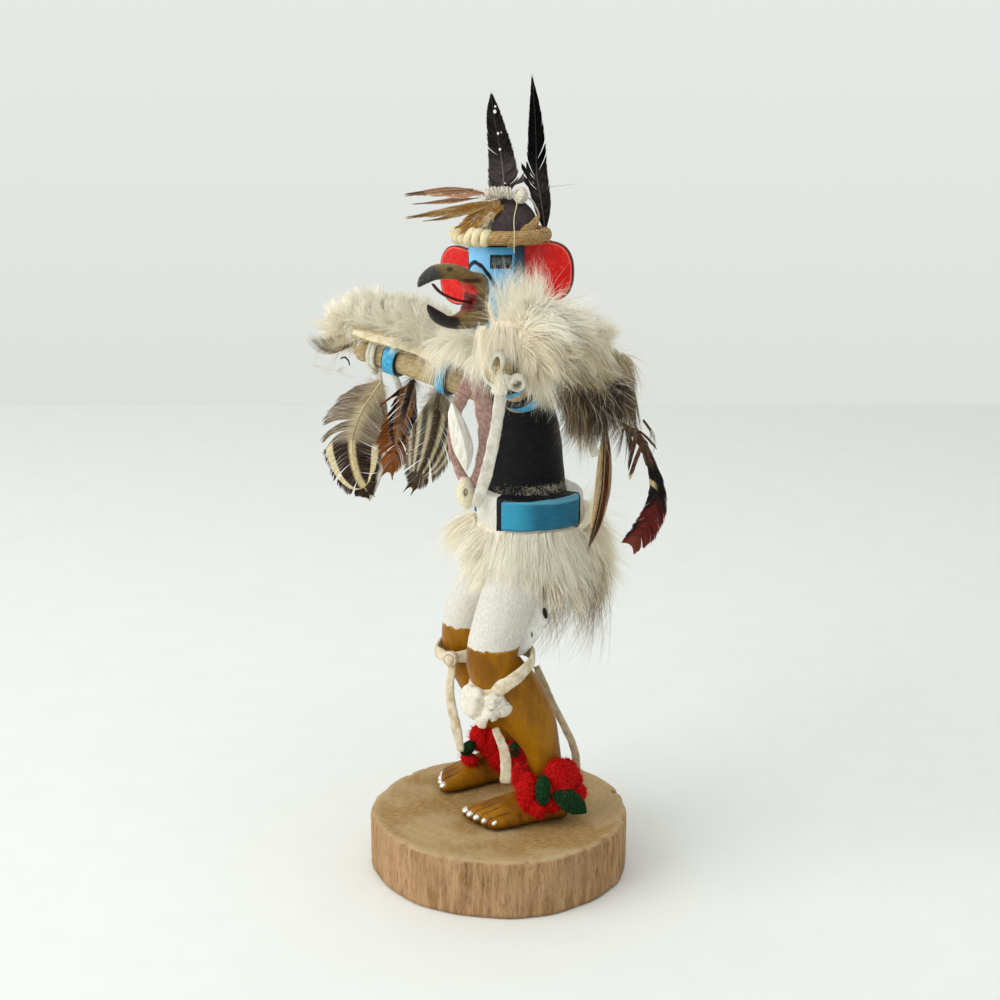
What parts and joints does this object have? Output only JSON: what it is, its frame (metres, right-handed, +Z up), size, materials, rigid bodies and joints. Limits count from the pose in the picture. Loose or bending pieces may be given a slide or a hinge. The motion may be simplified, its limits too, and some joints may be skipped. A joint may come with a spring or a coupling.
{
  "type": "kachina doll",
  "caption": "Carved wooden eagle-dancer doll with fur-topped wings, a beaked blue mask, feathers, leather ties and yarn anklets, standing on a sawn wood slice.",
  "frame": {"origin": "centre of the wood slice's underside", "axes": "+Z up along the standing doll; the doll faces -Y and its own left side is +X"},
  "size_m": [0.1157, 0.0868, 0.2529],
  "materials": {
    "wood_slice": "bare sawn wood, fine grain",
    "figure_paint": "carved wood, painted ochre, white and matte black",
    "mask_paint": "carved wood, painted light blue with a black crown",
    "beak_wood": "carved wood, stained and lacquered",
    "tongue_leather": "dark red, satin",
    "ear_leather": "glossy red paint",
    "corn_husk": "dry twisted husk",
    "cream_yarn": "soft twisted yarn",
    "arm_wood": "bare carved wood",
    "blue_leather": "glossy turquoise paint on leather",
    "white_hide": "undyed hide with fuzzy edges",
    "rawhide": "folded rawhide with brown specks",
    "red_yarn": "wool yarn",
    "green_yarn": "wool yarn and felt",
    "dark_feather": "charcoal feather with a sheen",
    "brown_feather": "small brown feather",
    "barred_feather": "barred and spotted feather",
    "white_cord": "cotton cord",
    "shell": "natural shell, glossy",
    "cream_bead": "matte cream bead",
    "suede": "pinkish brown suede",
    "rabbit_fur": "long soft fur on hide"
  },
  "bodies": {
    "root": {"base": "wood_slice", "figure": "figure_paint", "head": "mask_paint", "beak": "beak_wood", "tongue": "tongue_leather", "ear_left": "ear_leather", "ear_right": "ear_leather", "wreath": "corn_husk", "wreath_yarn": "cream_yarn", "arm_left": "arm_wood", "arm_right": "arm_wood", "armband_left_upper": "blue_leather", "armband_left_wrist": "blue_leather", "armband_right_upper": "blue_leather", "armband_right_wrist": "blue_leather", "hand_tie_left": "white_hide", "hand_tie_right": "white_hide", "belt_patch_left": "blue_leather", "belt_patch_right": "blue_leather", "rattle": "rawhide", "knee_tie_left": "white_hide", "knee_tie_right": "white_hide", "anklet_leaf_left_front": "green_yarn", "anklet_leaf_left_back": "green_yarn", "anklet_leaf_right_front": "green_yarn", "anklet_leaf_right_inner": "green_yarn", "anklet_left": "red_yarn", "anklet_right": "red_yarn", "crest_feather_left": "dark_feather", "crest_feather_right": "dark_feather", "topknot_cord": "white_cord", "topknot_feather_upper": "brown_feather", "topknot_feather_middle": "brown_feather", "topknot_feather_lower": "brown_feather", "shell_pendant": "shell", "bead_pendant": "cream_bead", "suede_loop": "suede", "hand_strip_left": "white_hide", "hand_strip_right": "white_hide", "thong_front": "white_hide", "thong_middle": "white_hide", "thong_back": "white_hide", "wing_feather_right_barred": "barred_feather", "wing_feather_right_rust": "barred_feather", "wing_feather_right_striped": "barred_feather", "wing_feather_left_thin": "barred_feather", "wing_feather_left_curved": "barred_feather", "neck_fur": "rabbit_fur", "wing_fur_right": "rabbit_fur", "wing_fur_left": "rabbit_fur", "skirt_fur": "rabbit_fur"}
  },
  "joints": []
}
